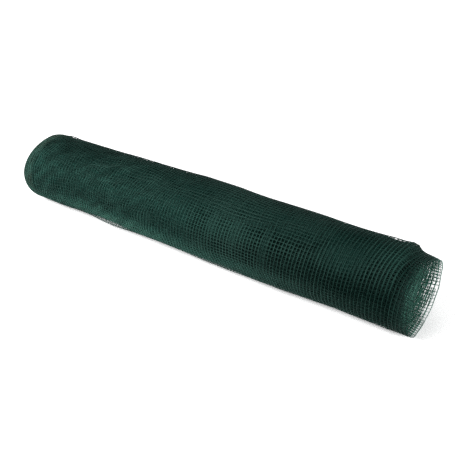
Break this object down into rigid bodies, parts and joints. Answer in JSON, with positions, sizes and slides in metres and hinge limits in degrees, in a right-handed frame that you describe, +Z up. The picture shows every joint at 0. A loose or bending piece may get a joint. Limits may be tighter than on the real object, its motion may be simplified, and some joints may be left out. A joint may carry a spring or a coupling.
{
  "type": "rolled hail net",
  "caption": "Knitted plastic net against hail, folded along its middle and wound into a long loose roll that lies on its side, with a short hollow see-through end of slipped turns.",
  "frame": {"origin": "on the surface that the roll rests on, under the middle of its length and of its width", "axes": "+X along the roll towards its open end of slipped turns, +Y towards the side where the loose outer edge runs, +Z up"},
  "size_m": [1.0529, 0.182, 0.1769],
  "materials": {
    "net": "knitted polyethylene thread, dark green, satin"
  },
  "bodies": {
    "root": {"net_roll": "net"}
  },
  "joints": []
}
